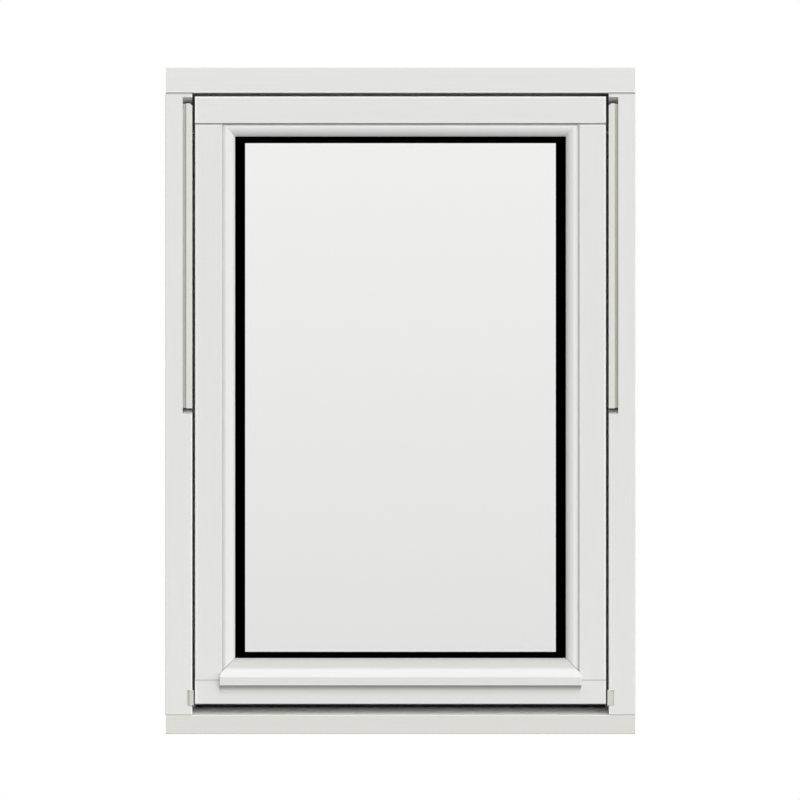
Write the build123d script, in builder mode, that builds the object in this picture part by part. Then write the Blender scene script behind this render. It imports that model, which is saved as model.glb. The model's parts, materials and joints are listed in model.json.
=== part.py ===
from build123d import *
import os

os.makedirs("parts", exist_ok=True)

# Top swing window in painted timber, in millimetres.
# The outside faces -Y, the room is at +Y, +Z is up, and the origin is the middle of the sill's underside.

# Driving dimensions: the frame
WIDTH = 698.0
HEIGHT = 990.0
FRAME_DEPTH = 115.0
JAMB_FACE = 40.0
HEAD_FACE = 39.0
SILL_FACE = 28.0
SILL_RISE = 12.0
SILL_UNDERCUT = 1.5
STOP_LAP = 10.0
LINING_GROOVE_WIDTH = 12.0
LINING_GROOVE_DEPTH = 9.0
LINING_GROOVE_INSET = 8.0
FLASHING_GROOVE_WIDTH = 4.0
FLASHING_GROOVE_DEPTH = 10.0
FLASHING_GROOVE_INSET = 12.0
FRAME_ARRIS = 2.0
OUTER_ARRIS = 1.4
SILL_ARRIS = 1.0
END_SETBACK = 0.7
HEAD_JOINT_GROOVE = 1.6
SILL_JOINT_GROOVE = 0.6

# Driving dimensions: the sash
SIDE_GAP = 4.0
HEAD_GAP = 4.7
SILL_GAP = 4.4
SEAL_GAP = 4.0
SASH_SETBACK = 2.0
SASH_DEPTH = 58.0
SASH_FACE = 39.5
BOTTOM_RAIL_FACE = 35.6
BEAD_WIDTH = 20.0
BOTTOM_RAIL_SIGHT = 68.3
LIP_DEPTH = 14.0
LIP_CHAMFER = 5.0
REBATE_SLOPE = 4.0
SASH_ARRIS = 1.8
BEAD_SIDE_ARRIS = 0.8
TOP_JOINT_GROOVE = 2.2
FOOT_JOINT_GROOVE = 0.7
RAIL_DRIP_INSET = 8.0
RAIL_DRIP_RADIUS = 1.8
SEAL_WIDTH = 7.0
SEAL_INSET = 1.5

# Driving dimensions: the glass unit and its bedding
PANE_THICKNESS = 4.0
CAVITY = 16.0
TAPE_THICKNESS = 3.0
TAPE_WIDTH = 10.0
TAPE_RECESS = 1.0
GLASS_CLEARANCE = 5.0
SPACER_SIGHT_SIDE = 15.0
SPACER_SIGHT_TOP = 10.0
SPACER_SIGHT_BOTTOM = 9.3

# Driving dimensions: the glazing beads and the drip bead
SIDE_QUIRK_WIDTH = 1.2
TOP_QUIRK_WIDTH = 2.2
QUIRK_STEP = 5.0
BEAD_CREST = 6.5
BEAD_CREST_STEP = 2.0
BEAD_EDGE = 3.5
DRIP_PROUD = 6.0
DRIP_NOSE_BOTTOM = 7.8
DRIP_NOSE_HEIGHT = 12.2
DRIP_NOSE_TILT = 0.8
DRIP_ROOT = 1.5
DRIP_LIP = 0.8
DRIP_SKIRT = 10.4
DRIP_SKIRT_EDGE = 0.6
DRIP_OVERHANG = 3.0
DRIP_SPLAY = 2.0
DRIP_ARRIS = 1.2
DRIP_LIP_ARRIS = 0.4

# Driving dimensions: the hinge fittings in the jambs
RECESS_WIDTH = 14.3
RECESS_DEPTH = 26.0
RECESS_DROP = 5.6
RECESS_LENGTH = 471.3
RECESS_RAMP = 10.0
TRACK_WALL = 2.5
TRACK_FRONT = 3.0
ARM_WIDTH = 9.2
ARM_DEPTH = 16.0
ARM_WALL = 2.5
ARM_FRONT = 0.5
ARM_END_GAP = 9.3
ARM_CHAMFER = 3.7
ARM_ARRIS = 0.8
PIVOT_RADIUS = 3.0
PIVOT_CLEARANCE = 0.1
PIVOT_DEPTH = 11.0
PIVOT_END_DISTANCE = 15.0
PIVOT_BITE = 12.0
GUIDE_WIDTH = 9.9
GUIDE_HEIGHT = 23.0
GUIDE_DEPTH = 16.0
GUIDE_PROUD = 1.2
GUIDE_REACH = 1.9
GUIDE_LIFT = 2.2
GUIDE_ARRIS = 0.6
GUIDE_STEP_WIDTH = 3.4
GUIDE_STEP_DEPTH = 2.5

# Driving dimensions: the frame's fixing holes
FIXING_RADIUS = 5.0
FIXING_END_DISTANCE = 150.0
FIXING_BEHIND_RECESS = 18.0

# Driving dimensions: the handle on the room side
ROSE_LENGTH = 58.0
ROSE_HEIGHT = 28.0
ROSE_DEPTH = 10.0
ROSE_EDGE = 2.2
HUB_RADIUS = 10.5
HUB_DEPTH = 3.0
GRIP_REACH = 30.0
GRIP_LENGTH = 112.0
GRIP_HEIGHT = 17.0
GRIP_THICKNESS = 11.0
GRIP_EDGE = 3.2
GRIP_BEND = 14.0
GRIP_TIP = 1.6

# Places along the depth, counted from the frame's outer face towards the room
FRAME_FACE_Y = -FRAME_DEPTH / 2
SASH_FRONT = SASH_SETBACK
SASH_BACK = SASH_FRONT + SASH_DEPTH
REBATE_DEPTH = SASH_BACK + SEAL_GAP
LIP_FRONT = SASH_BACK - LIP_DEPTH
INNER_PANE_FRONT = LIP_FRONT - TAPE_THICKNESS - PANE_THICKNESS
CAVITY_FRONT = INNER_PANE_FRONT - CAVITY
OUTER_PANE_FRONT = CAVITY_FRONT - PANE_THICKNESS
BEAD_BACK = OUTER_PANE_FRONT - TAPE_THICKNESS

# Places across the width, from the middle, and up the height
HALF_WIDTH = WIDTH / 2
SASH_HALF = HALF_WIDTH - JAMB_FACE - SIDE_GAP
SASH_TOP = HEIGHT - HEAD_FACE - HEAD_GAP
SILL_BACK = SILL_FACE + SILL_RISE
SASH_BOTTOM = SILL_BACK + SILL_GAP
BEAD_HALF = SASH_HALF - SASH_FACE
BEAD_TOP = SASH_TOP - SASH_FACE
SIGHT_HALF = BEAD_HALF - BEAD_WIDTH
SIGHT_TOP = BEAD_TOP - BEAD_WIDTH
SIGHT_BOTTOM = SASH_BOTTOM + BOTTOM_RAIL_SIGHT
RAIL_TOP = SASH_BOTTOM + BOTTOM_RAIL_FACE
REBATE_FLOOR = RAIL_TOP + REBATE_SLOPE
GLASS_HALF = BEAD_HALF - GLASS_CLEARANCE
GLASS_TOP = BEAD_TOP - GLASS_CLEARANCE
GLASS_BOTTOM = REBATE_FLOOR + GLASS_CLEARANCE
JAMB_INNER = -HALF_WIDTH + JAMB_FACE
RECESS_OUTER = JAMB_INNER - RECESS_WIDTH
RECESS_TOP = HEIGHT - HEAD_FACE - RECESS_DROP
RECESS_BOTTOM = RECESS_TOP - RECESS_LENGTH

# Planes: a cross section seen from the left end, a plan and the elevation of the outer face
SECTION = Plane(origin=(0, FRAME_FACE_Y, 0), x_dir=(0, 1, 0), z_dir=(1, 0, 0))
PLAN = Plane(origin=(0, FRAME_FACE_Y, 0), x_dir=(1, 0, 0), z_dir=(0, 0, 1))
FRONT = Plane(origin=(0, FRAME_FACE_Y, 0), x_dir=(1, 0, 0), z_dir=(0, -1, 0))
MIRROR = Plane.YZ

# Sharp outlines of the members, as (depth, height) for the rails and (across, depth) for the uprights
HEAD_STOP = HEIGHT - HEAD_FACE - HEAD_GAP - STOP_LAP
HEAD_OUTLINE = [
    (0, HEIGHT),
    (0, HEIGHT - HEAD_FACE),
    (REBATE_DEPTH, HEIGHT - HEAD_FACE),
    (REBATE_DEPTH, HEAD_STOP),
    (FRAME_DEPTH, HEAD_STOP),
    (FRAME_DEPTH, HEIGHT),
]
SILL_STOP = SASH_BOTTOM + STOP_LAP
SILL_OUTLINE = [
    (SILL_UNDERCUT, 0),
    (0, SILL_FACE),
    (REBATE_DEPTH, SILL_BACK),
    (REBATE_DEPTH, SILL_STOP),
    (FRAME_DEPTH, SILL_STOP),
    (FRAME_DEPTH, 0),
]
JAMB_STOP = -SASH_HALF + STOP_LAP
JAMB_OUTLINE = [
    (-HALF_WIDTH, 0),
    (JAMB_INNER, 0),
    (JAMB_INNER, REBATE_DEPTH),
    (JAMB_STOP, REBATE_DEPTH),
    (JAMB_STOP, FRAME_DEPTH),
    (-HALF_WIDTH, FRAME_DEPTH),
]
TOP_RAIL_OUTLINE = [
    (SASH_FRONT, SASH_TOP),
    (SASH_FRONT, BEAD_TOP),
    (LIP_FRONT, BEAD_TOP),
    (LIP_FRONT, SIGHT_TOP),
    (SASH_BACK, SIGHT_TOP),
    (SASH_BACK, SASH_TOP),
]
BOTTOM_RAIL_OUTLINE = [
    (SASH_FRONT, SASH_BOTTOM),
    (SASH_FRONT, RAIL_TOP),
    (LIP_FRONT, REBATE_FLOOR),
    (LIP_FRONT, SIGHT_BOTTOM),
    (SASH_BACK, SIGHT_BOTTOM),
    (SASH_BACK, SASH_BOTTOM),
]
STILE_OUTLINE = [
    (-SASH_HALF, SASH_FRONT),
    (-BEAD_HALF, SASH_FRONT),
    (-BEAD_HALF, LIP_FRONT),
    (-SIGHT_HALF, LIP_FRONT),
    (-SIGHT_HALF, SASH_BACK),
    (-SASH_HALF, SASH_BACK),
]


def outline_face(points):
    """Fill a closed outline in the sketch that is open."""
    Polygon(*points, align=None)


def ease(sketch, corners, radius):
    """Round the corners of the sketch that lie on the given points."""
    for corner in corners:
        fillet(sketch.vertices().sort_by_distance(corner)[0], radius)


def joint_groove(depth, level, width):
    """Outline of the groove cut in an upright's end at a joint; a negative width lies below the level."""
    floor = depth + abs(width)
    return [(depth, level), (depth, level + width), (floor, level + width), (floor, level)]


def write(builder, label):
    """Label a finished sub-part and write its STEP file."""
    builder.part.label = label
    export_step(builder.part, f"parts/{label}.step")


def write_pair(builder, name):
    """Write the left-hand sub-part and its mirror image on the right."""
    write(builder, f"left_{name}")
    with BuildPart() as twin:
        mirror(builder.part, about=MIRROR)
    write(twin, f"right_{name}")


# The head runs over both jambs; its lower front arris is eased along its whole length.
LINING_GROOVE_AT = FRAME_DEPTH - LINING_GROOVE_INSET - LINING_GROOVE_WIDTH / 2
MEMBER_HALF = HALF_WIDTH - END_SETBACK
with BuildPart() as frame_head:
    with BuildSketch(SECTION.offset(-MEMBER_HALF)) as head_section:
        outline_face(HEAD_OUTLINE)
        ease(head_section, [HEAD_OUTLINE[0], HEAD_OUTLINE[1], HEAD_OUTLINE[4]], FRAME_ARRIS)
        with Locations((LINING_GROOVE_AT, HEIGHT)):
            Rectangle(LINING_GROOVE_WIDTH, 2 * LINING_GROOVE_DEPTH, mode=Mode.SUBTRACT)
    extrude(amount=2 * MEMBER_HALF)
write(frame_head, "frame_head")

# The sill is weathered under the sash and grooved below for the flashing and the room lining.
with BuildPart() as frame_sill:
    with BuildSketch(SECTION.offset(-MEMBER_HALF)) as sill_section:
        outline_face(SILL_OUTLINE)
        ease(sill_section, [SILL_OUTLINE[0]], SILL_ARRIS)
        ease(sill_section, [SILL_OUTLINE[1], SILL_OUTLINE[4]], FRAME_ARRIS)
        with Locations((FLASHING_GROOVE_INSET, 0)):
            Rectangle(FLASHING_GROOVE_WIDTH, 2 * FLASHING_GROOVE_DEPTH, mode=Mode.SUBTRACT)
        with Locations((LINING_GROOVE_AT, 0)):
            Rectangle(LINING_GROOVE_WIDTH, 2 * LINING_GROOVE_DEPTH, mode=Mode.SUBTRACT)
    extrude(amount=2 * MEMBER_HALF)
write(frame_sill, "frame_sill")

# Each jamb stands between head and sill, with a routed recess for the hinge and a seat for the guide.
GUIDE_OUTER = JAMB_INNER + GUIDE_REACH - GUIDE_WIDTH
GUIDE_BOTTOM = SASH_BOTTOM - GUIDE_LIFT
RECESS_OUTLINE = [
    (0, RECESS_TOP),
    (RECESS_DEPTH, RECESS_TOP - RECESS_RAMP),
    (RECESS_DEPTH, RECESS_BOTTOM + RECESS_RAMP),
    (0, RECESS_BOTTOM),
]
FIXING_DEPTH = RECESS_DEPTH + FIXING_BEHIND_RECESS
FIXING_HEIGHTS = (FIXING_END_DISTANCE, HEIGHT - FIXING_END_DISTANCE)
with BuildPart() as jamb:
    with BuildSketch(PLAN) as jamb_section:
        outline_face(JAMB_OUTLINE)
        ease(jamb_section, [JAMB_OUTLINE[0]], OUTER_ARRIS)
        ease(jamb_section, [JAMB_OUTLINE[1], JAMB_OUTLINE[4]], FRAME_ARRIS)
        with Locations((-HALF_WIDTH, LINING_GROOVE_AT)):
            Rectangle(2 * LINING_GROOVE_DEPTH, LINING_GROOVE_WIDTH, mode=Mode.SUBTRACT)
    extrude(amount=HEIGHT)
    with BuildSketch(SECTION.offset(-HALF_WIDTH)):
        outline_face(HEAD_OUTLINE)
        outline_face([(0, 0)] + SILL_OUTLINE[1:])
        outline_face(joint_groove(0, HEAD_OUTLINE[1][1], -HEAD_JOINT_GROOVE))
        outline_face(joint_groove(0, SILL_OUTLINE[1][1], SILL_JOINT_GROOVE))
    extrude(amount=HALF_WIDTH, mode=Mode.SUBTRACT)
    with BuildSketch(SECTION.offset(RECESS_OUTER)):
        outline_face(RECESS_OUTLINE)
    extrude(amount=RECESS_WIDTH, mode=Mode.SUBTRACT)
    with BuildSketch(FRONT):
        with Locations((GUIDE_OUTER, GUIDE_BOTTOM)):
            Rectangle(GUIDE_WIDTH, GUIDE_HEIGHT, align=Align.MIN)
    extrude(amount=-GUIDE_DEPTH, mode=Mode.SUBTRACT)
    with BuildSketch(SECTION.offset(-HALF_WIDTH)):
        with Locations(*[(FIXING_DEPTH, level) for level in FIXING_HEIGHTS]):
            Circle(FIXING_RADIUS)
    extrude(amount=JAMB_FACE, mode=Mode.SUBTRACT)
write_pair(jamb, "jamb")

# Weather seals lie on the frame's stops and press on the back of the sash; the lowest reaches down to the sill.
SEAL_TOP = SASH_TOP - SEAL_INSET
SEAL_BOTTOM = SASH_BOTTOM + SEAL_INSET
SEAL_OUTER = SASH_HALF - SEAL_INSET
SEAL_ROUND = SEAL_GAP / 2
with BuildPart() as side_seal:
    with BuildSketch(PLAN.offset(SEAL_BOTTOM + SEAL_WIDTH)) as side_seal_section:
        with Locations((-SEAL_OUTER, SASH_BACK)):
            Rectangle(SEAL_WIDTH, SEAL_GAP, align=Align.MIN)
        ease(
            side_seal_section,
            [(-SEAL_OUTER, SASH_BACK), (-SEAL_OUTER + SEAL_WIDTH, SASH_BACK)],
            SEAL_ROUND,
        )
    extrude(amount=SEAL_TOP - SEAL_BOTTOM - 2 * SEAL_WIDTH)
write_pair(side_seal, "seal")
for seal_name, low, high in (
    ("head_seal", SEAL_TOP - SEAL_WIDTH, SEAL_TOP),
    ("sill_seal", SILL_BACK, SEAL_BOTTOM + SEAL_WIDTH),
):
    with BuildPart() as cross_seal:
        with BuildSketch(SECTION.offset(-SEAL_OUTER)) as cross_seal_section:
            with Locations((SASH_BACK, low)):
                Rectangle(SEAL_GAP, high - low, align=Align.MIN)
            ease(cross_seal_section, [(SASH_BACK, low), (SASH_BACK, high)], SEAL_ROUND)
        extrude(amount=2 * SEAL_OUTER)
    write(cross_seal, seal_name)

# The sash rails run the full width, with the stiles between them.
with BuildPart() as top_rail:
    with BuildSketch(SECTION.offset(-SASH_HALF)) as top_rail_section:
        outline_face(TOP_RAIL_OUTLINE)
        ease(top_rail_section, [TOP_RAIL_OUTLINE[0]], SASH_ARRIS)
        ease(top_rail_section, [TOP_RAIL_OUTLINE[1]], BEAD_SIDE_ARRIS)
        chamfer(top_rail_section.vertices().sort_by_distance(TOP_RAIL_OUTLINE[4])[0], LIP_CHAMFER)
    extrude(amount=2 * SASH_HALF)
write(top_rail, "sash_top_rail")

RAIL_DRIP_AT = SASH_FRONT + RAIL_DRIP_INSET
with BuildPart() as bottom_rail:
    with BuildSketch(SECTION.offset(-SASH_HALF)) as bottom_rail_section:
        outline_face(BOTTOM_RAIL_OUTLINE)
        ease(bottom_rail_section, [BOTTOM_RAIL_OUTLINE[0]], SASH_ARRIS)
        chamfer(
            bottom_rail_section.vertices().sort_by_distance(BOTTOM_RAIL_OUTLINE[4])[0], LIP_CHAMFER
        )
        with Locations((RAIL_DRIP_AT, SASH_BOTTOM)):
            Circle(RAIL_DRIP_RADIUS, mode=Mode.SUBTRACT)
    extrude(amount=2 * SASH_HALF)
write(bottom_rail, "sash_bottom_rail")

PIVOT_TOP = BEAD_TOP - PIVOT_END_DISTANCE
PIVOT_BOTTOM = RECESS_BOTTOM + ARM_END_GAP + PIVOT_END_DISTANCE
with BuildPart() as stile:
    with BuildSketch(PLAN) as stile_section:
        outline_face(STILE_OUTLINE)
        ease(stile_section, [STILE_OUTLINE[0]], SASH_ARRIS)
        ease(stile_section, [STILE_OUTLINE[1]], BEAD_SIDE_ARRIS)
        chamfer(stile_section.vertices().sort_by_distance(STILE_OUTLINE[4])[0], LIP_CHAMFER)
    extrude(amount=SASH_TOP)
    with BuildSketch(SECTION.offset(-SASH_HALF)):
        outline_face(TOP_RAIL_OUTLINE)
        outline_face(BOTTOM_RAIL_OUTLINE)
        outline_face(joint_groove(SASH_FRONT, BEAD_TOP, -TOP_JOINT_GROOVE))
        outline_face(joint_groove(SASH_FRONT, RAIL_TOP, FOOT_JOINT_GROOVE))
        with Locations((FRAME_DEPTH / 2, 0)):
            Rectangle(FRAME_DEPTH, 2 * SASH_BOTTOM)
    extrude(amount=SASH_HALF, mode=Mode.SUBTRACT)
    with BuildSketch(SECTION.offset(-SASH_HALF)):
        with Locations((PIVOT_DEPTH, PIVOT_TOP)):
            Circle(PIVOT_RADIUS + PIVOT_CLEARANCE)
    extrude(amount=PIVOT_BITE + PIVOT_CLEARANCE, mode=Mode.SUBTRACT)
write_pair(stile, "stile")

# The drip bead closes the foot of the glass: the beads' ovolo between the mitres, then a cove that runs out to
# a nose across the sash, which throws the rain off, and a hollow skirt under the nose.
NOSE_FRONT = -DRIP_PROUD
NOSE_BOTTOM = RAIL_TOP - DRIP_NOSE_BOTTOM
NOSE_TOP = NOSE_BOTTOM + DRIP_NOSE_HEIGHT
MITRE_FOOT = SIGHT_BOTTOM - BEAD_WIDTH
OVOLO_TOP = (BEAD_BACK - BEAD_EDGE, SIGHT_BOTTOM)
OVOLO_FOOT = (SASH_FRONT + BEAD_CREST_STEP, MITRE_FOOT + BEAD_CREST)
NOSE_ROOT = (DRIP_ROOT, MITRE_FOOT)
NOSE_EDGE = (NOSE_FRONT, NOSE_TOP)
NOSE_FOOT = (NOSE_FRONT + DRIP_NOSE_TILT, NOSE_BOTTOM)
SKIRT_BOTTOM = NOSE_BOTTOM - DRIP_SKIRT
SKIRT_TOP = (NOSE_FOOT[0] + DRIP_LIP, NOSE_BOTTOM)
SKIRT_FOOT = (SASH_FRONT - DRIP_SKIRT_EDGE, SKIRT_BOTTOM)
BEAD_SEAT = RAIL_TOP + REBATE_SLOPE * (BEAD_BACK - SASH_FRONT) / (LIP_FRONT - SASH_FRONT)
DRIP_HALF = BEAD_HALF + DRIP_OVERHANG
with BuildPart() as drip_bead:
    with BuildSketch(SECTION.offset(-DRIP_HALF)) as drip_section:
        with BuildLine():
            TangentArc(OVOLO_FOOT, OVOLO_TOP, tangent=(0, 1))
            TangentArc(OVOLO_FOOT, NOSE_ROOT, tangent=(0, -1))
            Polyline(NOSE_ROOT, NOSE_EDGE, NOSE_FOOT, SKIRT_TOP)
            TangentArc(SKIRT_FOOT, SKIRT_TOP, tangent=(0, 1))
            Polyline(
                SKIRT_FOOT,
                (SASH_FRONT, SKIRT_BOTTOM),
                (SASH_FRONT, RAIL_TOP),
                (BEAD_BACK, BEAD_SEAT),
                (BEAD_BACK, SIGHT_BOTTOM),
                OVOLO_TOP,
            )
        make_face()
        ease(drip_section, [NOSE_EDGE], DRIP_ARRIS)
        ease(drip_section, [NOSE_FOOT], DRIP_LIP_ARRIS)
    extrude(amount=2 * DRIP_HALF)
    for hand in (-1, 1):
        with BuildSketch(FRONT.offset(-SASH_FRONT)):
            outline_face(
                [
                    (hand * BEAD_HALF, 0),
                    (hand * BEAD_HALF, MITRE_FOOT),
                    (hand * SIGHT_HALF, SIGHT_BOTTOM),
                    (hand * SASH_HALF, SIGHT_BOTTOM),
                    (hand * SASH_HALF, 0),
                ]
            )
        extrude(amount=-SASH_DEPTH, mode=Mode.SUBTRACT)
        with BuildSketch(FRONT.offset(DRIP_PROUD)):
            outline_face(
                [
                    (hand * DRIP_HALF, NOSE_TOP),
                    (hand * BEAD_HALF, MITRE_FOOT),
                    (hand * SIGHT_HALF, SIGHT_BOTTOM),
                    (hand * DRIP_HALF, SIGHT_BOTTOM),
                ]
            )
            outline_face(
                [
                    (hand * DRIP_HALF, NOSE_BOTTOM),
                    (hand * (DRIP_HALF - DRIP_SPLAY), SKIRT_BOTTOM),
                    (hand * DRIP_HALF, SKIRT_BOTTOM),
                ]
            )
        extrude(amount=-DRIP_PROUD - SASH_FRONT, mode=Mode.SUBTRACT)
        with BuildSketch(PLAN):
            outline_face(
                [
                    (hand * DRIP_HALF, NOSE_FRONT),
                    (hand * DRIP_HALF, NOSE_FRONT + DRIP_ARRIS),
                    (hand * (DRIP_HALF - DRIP_ARRIS), NOSE_FRONT),
                ]
            )
        extrude(amount=SIGHT_BOTTOM, mode=Mode.SUBTRACT)
write(drip_bead, "drip_bead")


def bead_profile(place, quirk_width):
    """Draw the quirked ovolo of a glazing bead; place turns (inward, depth) into sketch points."""
    crest = (BEAD_CREST, SASH_FRONT + BEAD_CREST_STEP)
    quirk = (quirk_width, SASH_FRONT + QUIRK_STEP)
    edge = (BEAD_WIDTH, BEAD_BACK - BEAD_EDGE)
    inward = Vector(*place(1, 0)) - Vector(*place(0, 0))
    with BuildLine() as outline:
        Polyline(place(0, BEAD_BACK), place(0, quirk[1]), place(*quirk))
        TangentArc(place(*crest), place(*quirk), tangent=-inward)
        TangentArc(place(*crest), place(*edge), tangent=inward)
        Polyline(place(*edge), place(BEAD_WIDTH, BEAD_BACK), place(0, BEAD_BACK))
    make_face(outline.edges())


# The three upper beads are mitred together and mitred down on to the drip bead.
with BuildPart() as top_bead:
    with BuildSketch(SECTION.offset(-BEAD_HALF)):
        bead_profile(lambda inward, depth: (depth, BEAD_TOP - inward), TOP_QUIRK_WIDTH)
    extrude(amount=2 * BEAD_HALF)
    for hand in (-1, 1):
        with BuildSketch(FRONT):
            outline_face(
                [
                    (hand * BEAD_HALF, BEAD_TOP),
                    (hand * SIGHT_HALF, SIGHT_TOP),
                    (hand * BEAD_HALF, SIGHT_TOP),
                ]
            )
        extrude(amount=-BEAD_BACK, mode=Mode.SUBTRACT)
write(top_bead, "top_glazing_bead")

with BuildPart() as side_bead:
    with BuildSketch(PLAN.offset(MITRE_FOOT)):
        bead_profile(lambda inward, depth: (-BEAD_HALF + inward, depth), SIDE_QUIRK_WIDTH)
    extrude(amount=BEAD_TOP - MITRE_FOOT)
    with BuildSketch(FRONT):
        outline_face(
            [(-BEAD_HALF, BEAD_TOP), (-SIGHT_HALF, SIGHT_TOP), (-SIGHT_HALF, BEAD_TOP)]
        )
        outline_face(
            [(-BEAD_HALF, MITRE_FOOT), (-SIGHT_HALF, SIGHT_BOTTOM), (-SIGHT_HALF, MITRE_FOOT)]
        )
    extrude(amount=-BEAD_BACK, mode=Mode.SUBTRACT)
write_pair(side_bead, "glazing_bead")

# Two panes with the black edge spacer between them.
for pane_name, pane_front in (("outer_pane", OUTER_PANE_FRONT), ("inner_pane", INNER_PANE_FRONT)):
    with BuildPart() as pane:
        with BuildSketch(FRONT.offset(-pane_front)):
            with Locations((0, GLASS_BOTTOM)):
                Rectangle(2 * GLASS_HALF, GLASS_TOP - GLASS_BOTTOM, align=(Align.CENTER, Align.MIN))
        extrude(amount=-PANE_THICKNESS)
    write(pane, pane_name)

SPACER_HALF = SIGHT_HALF - SPACER_SIGHT_SIDE
SPACER_TOP = SIGHT_TOP - SPACER_SIGHT_TOP
SPACER_BOTTOM = SIGHT_BOTTOM + SPACER_SIGHT_BOTTOM
with BuildPart() as side_spacer:
    with BuildSketch(FRONT.offset(-CAVITY_FRONT)):
        with Locations((-GLASS_HALF, GLASS_BOTTOM)):
            Rectangle(GLASS_HALF - SPACER_HALF, GLASS_TOP - GLASS_BOTTOM, align=Align.MIN)
    extrude(amount=-CAVITY)
write_pair(side_spacer, "spacer")
for spacer_name, low, high in (
    ("top_spacer", SPACER_TOP, GLASS_TOP),
    ("bottom_spacer", GLASS_BOTTOM, SPACER_BOTTOM),
):
    with BuildPart() as cross_spacer:
        with BuildSketch(FRONT.offset(-CAVITY_FRONT)):
            with Locations((0, low)):
                Rectangle(2 * SPACER_HALF, high - low, align=(Align.CENTER, Align.MIN))
        extrude(amount=-CAVITY)
    write(cross_spacer, spacer_name)

# Glazing tape beds the glass unit on the beads in front and on the sash lip behind.
TAPE_HALF = SIGHT_HALF + TAPE_RECESS
TAPE_TOP = SIGHT_TOP + TAPE_RECESS
TAPE_BOTTOM = SIGHT_BOTTOM - TAPE_RECESS
TAPE_DEPTHS = (BEAD_BACK, INNER_PANE_FRONT + PANE_THICKNESS)
with BuildPart() as side_tape:
    for tape_depth in TAPE_DEPTHS:
        with BuildSketch(FRONT.offset(-tape_depth)):
            with Locations((-TAPE_HALF, TAPE_BOTTOM - TAPE_WIDTH)):
                Rectangle(
                    TAPE_WIDTH,
                    TAPE_TOP - TAPE_BOTTOM + 2 * TAPE_WIDTH,
                    align=(Align.MAX, Align.MIN),
                )
        extrude(amount=-TAPE_THICKNESS)
write_pair(side_tape, "glazing_tape")
for tape_name, tape_level in (
    ("top_glazing_tape", TAPE_TOP),
    ("bottom_glazing_tape", TAPE_BOTTOM - TAPE_WIDTH),
):
    with BuildPart() as cross_tape:
        for tape_depth in TAPE_DEPTHS:
            with BuildSketch(FRONT.offset(-tape_depth)):
                with Locations((0, tape_level)):
                    Rectangle(2 * TAPE_HALF, TAPE_WIDTH, align=(Align.CENTER, Align.MIN))
            extrude(amount=-TAPE_THICKNESS)
    write(cross_tape, tape_name)

# The hinge track lines the recess; the swing arm lies in it, flush with the jamb's face.
TRACK_TOP = RECESS_TOP - RECESS_RAMP
TRACK_BOTTOM = RECESS_BOTTOM + RECESS_RAMP
ARM_TOP = RECESS_TOP - ARM_END_GAP
ARM_BOTTOM = RECESS_BOTTOM + ARM_END_GAP
ARM_OUTER = JAMB_INNER - ARM_WIDTH
TRACK_SIDE = RECESS_WIDTH - ARM_WIDTH
with BuildPart() as hinge_track:
    with BuildSketch(PLAN.offset(TRACK_BOTTOM)):
        outline_face(
            [
                (RECESS_OUTER, TRACK_FRONT),
                (RECESS_OUTER + TRACK_SIDE, TRACK_FRONT),
                (RECESS_OUTER + TRACK_SIDE, RECESS_DEPTH - TRACK_WALL),
                (JAMB_INNER, RECESS_DEPTH - TRACK_WALL),
                (JAMB_INNER, RECESS_DEPTH),
                (RECESS_OUTER, RECESS_DEPTH),
            ]
        )
    extrude(amount=TRACK_TOP - TRACK_BOTTOM)
    with BuildSketch(SECTION.offset(RECESS_OUTER)):
        with Locations((PIVOT_DEPTH, PIVOT_BOTTOM)):
            Circle(PIVOT_RADIUS + PIVOT_CLEARANCE)
    extrude(amount=TRACK_SIDE, mode=Mode.SUBTRACT)
write_pair(hinge_track, "hinge_track")

ARM_BACK = ARM_FRONT + ARM_DEPTH
with BuildPart() as swing_arm:
    with BuildSketch(PLAN.offset(ARM_BOTTOM)) as arm_section:
        outline_face(
            [
                (ARM_OUTER, ARM_FRONT),
                (JAMB_INNER, ARM_FRONT),
                (JAMB_INNER, ARM_FRONT + ARM_WALL),
                (ARM_OUTER + ARM_WALL, ARM_FRONT + ARM_WALL),
                (ARM_OUTER + ARM_WALL, ARM_BACK - ARM_WALL),
                (JAMB_INNER, ARM_BACK - ARM_WALL),
                (JAMB_INNER, ARM_BACK),
                (ARM_OUTER, ARM_BACK),
            ]
        )
        ease(arm_section, [(ARM_OUTER, ARM_FRONT), (JAMB_INNER, ARM_FRONT)], ARM_ARRIS)
    extrude(amount=ARM_TOP - ARM_BOTTOM)
    with BuildSketch(FRONT):
        outline_face(
            [
                (JAMB_INNER - ARM_CHAMFER, ARM_TOP),
                (JAMB_INNER, ARM_TOP),
                (JAMB_INNER, ARM_TOP - ARM_CHAMFER),
            ]
        )
    extrude(amount=-RECESS_DEPTH, mode=Mode.SUBTRACT)
    with BuildSketch(SECTION.offset(ARM_OUTER)):
        with Locations((PIVOT_DEPTH, PIVOT_BOTTOM), (PIVOT_DEPTH, PIVOT_TOP)):
            Circle(PIVOT_RADIUS + PIVOT_CLEARANCE)
    extrude(amount=ARM_WALL, mode=Mode.SUBTRACT)
write_pair(swing_arm, "swing_arm")

# The lower pivot joins the arm to the track, and the upper pivot joins it to the sash stile.
with BuildPart() as pivots:
    with BuildSketch(SECTION.offset(RECESS_OUTER)):
        with Locations((PIVOT_DEPTH, PIVOT_BOTTOM)):
            Circle(PIVOT_RADIUS)
    extrude(amount=RECESS_WIDTH - ARM_WALL)
    with BuildSketch(SECTION.offset(ARM_OUTER)):
        with Locations((PIVOT_DEPTH, PIVOT_TOP)):
            Circle(PIVOT_RADIUS)
    extrude(amount=ARM_WIDTH + SIDE_GAP + PIVOT_BITE)
write_pair(pivots, "hinge_pivots")

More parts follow.
